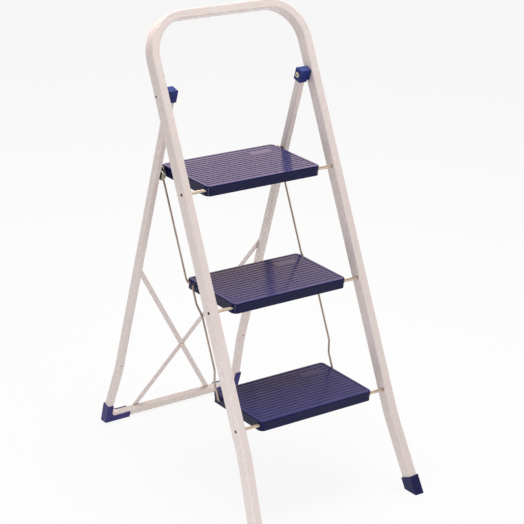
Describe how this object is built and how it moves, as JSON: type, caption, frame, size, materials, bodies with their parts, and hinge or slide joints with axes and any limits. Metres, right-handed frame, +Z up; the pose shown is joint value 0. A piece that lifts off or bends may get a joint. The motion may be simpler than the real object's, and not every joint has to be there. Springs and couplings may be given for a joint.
{
  "type": "step ladder",
  "caption": "Folding step ladder: bent-tube front frame with a hoop handle, hinged rear frame with an X brace, ribbed treads on rods tied by wire links.",
  "frame": {"origin": "on the floor, under the middle of the standing ladder's bounding box", "axes": "+X across the ladder to the right of a person who climbs it, +Y to the rear, +Z up"},
  "size_m": [0.5016, 0.7492, 1.1194],
  "materials": {
    "frame_paint": "gloss warm white",
    "tread_plastic": "gloss navy",
    "fitting_plastic": "moulded blue",
    "plated_rod": "zinc plated",
    "plated_wire": "zinc plated, dull",
    "catch_steel": "dark plated"
  },
  "bodies": {
    "front_frame": {"front_tube": "frame_paint", "front_foot_left": "fitting_plastic", "front_foot_right": "fitting_plastic", "front_rod_top": "plated_rod", "front_rod_middle": "plated_rod", "front_rod_bottom": "plated_rod", "pivot_bolt_left": "plated_rod", "pivot_bolt_right": "plated_rod"},
    "rear_frame": {"rear_tube": "frame_paint", "hinge_cap_left": "fitting_plastic", "hinge_cap_right": "fitting_plastic", "rear_foot_left": "fitting_plastic", "rear_foot_right": "fitting_plastic", "brace_bar_left": "frame_paint", "brace_bar_right": "frame_paint", "brace_rivet": "plated_rod", "catch_plate_left": "catch_steel", "catch_plate_right": "catch_steel"},
    "top_step": {"tread_top": "tread_plastic", "rear_rod": "plated_rod"},
    "middle_step": {"tread_middle": "tread_plastic"},
    "bottom_step": {"tread_bottom": "tread_plastic"},
    "upper_links": {"link_upper_left": "plated_wire", "link_upper_right": "plated_wire"},
    "lower_links": {"link_lower_left": "plated_wire", "link_lower_right": "plated_wire"}
  },
  "joints": [
    {"name": "rear_fold", "type": "hinge", "parent": "front_frame", "child": "rear_frame", "pos_m": [0, 0.11865, 0.9396], "axis": [-1, 0, 0], "range_deg": [0, 37]},
    {"name": "top_step_fold", "type": "hinge", "parent": "front_frame", "child": "top_step", "pos_m": [0, 0.00415, 0.735], "axis": [1, 0, 0], "range_deg": [0, 55.01]},
    {"name": "middle_step_fold", "type": "hinge", "parent": "front_frame", "child": "middle_step", "pos_m": [0, -0.11941, 0.485], "axis": [1, 0, 0], "range_deg": [0, 55.01]},
    {"name": "bottom_step_fold", "type": "hinge", "parent": "front_frame", "child": "bottom_step", "pos_m": [0, -0.24297, 0.235], "axis": [1, 0, 0], "range_deg": [0, 55.01]},
    {"name": "upper_links_swing", "type": "hinge", "parent": "top_step", "child": "upper_links", "pos_m": [0, 0.17215, 0.739], "axis": [1, 0, 0], "range_deg": [-55.01, 0]},
    {"name": "lower_links_swing", "type": "hinge", "parent": "middle_step", "child": "lower_links", "pos_m": [0, 0.03159, 0.487], "axis": [1, 0, 0], "range_deg": [-55.01, 0]}
  ],
  "couplings": [
    {"joint": "top_step_fold", "follows": "rear_fold", "ratio": 1.4865},
    {"joint": "middle_step_fold", "follows": "rear_fold", "ratio": 1.4865},
    {"joint": "bottom_step_fold", "follows": "rear_fold", "ratio": 1.4865},
    {"joint": "upper_links_swing", "follows": "rear_fold", "ratio": -1.4865},
    {"joint": "lower_links_swing", "follows": "rear_fold", "ratio": -1.4865}
  ]
}
